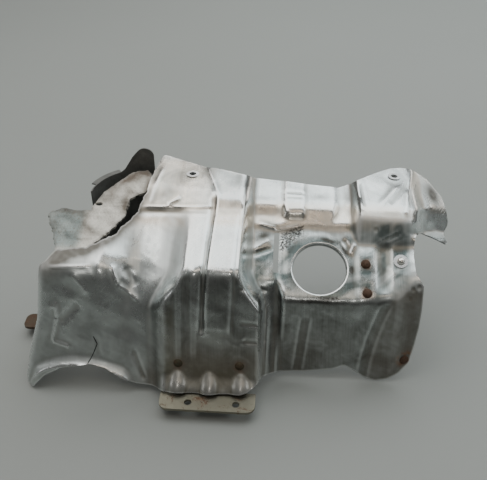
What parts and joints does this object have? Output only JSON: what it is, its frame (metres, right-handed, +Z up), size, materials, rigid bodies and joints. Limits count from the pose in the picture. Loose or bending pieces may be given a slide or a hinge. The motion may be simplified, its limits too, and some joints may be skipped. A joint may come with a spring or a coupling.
{
  "type": "exhaust heat shield",
  "caption": "Pressed aluminium heat shield with a hood, a ribbed block, a port panel, a top flange with eyelets and riveted steel brackets, torn and dented from use.",
  "frame": {"origin": "middle of the bounding box's footprint, at the level the shield stands on", "axes": "+X along the shield from the hood to the wing, +Y from the front bracket back to the rear wall, +Z up"},
  "size_m": [0.414, 0.2132, 0.1667],
  "materials": {
    "aluminium": "dull, stained, lightly scratched",
    "dark_aluminium": "dull, darkened by heat",
    "rusty_steel": "matte with light rust",
    "rust": "matte rust",
    "fibre": "crumpled fibre felt"
  },
  "bodies": {
    "root": {"shield_shell": "aluminium", "rear_wall": "dark_aluminium", "insulation_mat": "fibre", "front_bracket": "rusty_steel", "side_bracket": "rusty_steel", "bracket_rivets": "rusty_steel", "side_rivet": "rust", "panel_rivets": "rust", "domed_rivet": "aluminium", "rivet_washer": "dark_aluminium", "corner_rivet": "rust", "eyelet_left": "aluminium", "eyelet_right": "aluminium"}
  },
  "joints": []
}
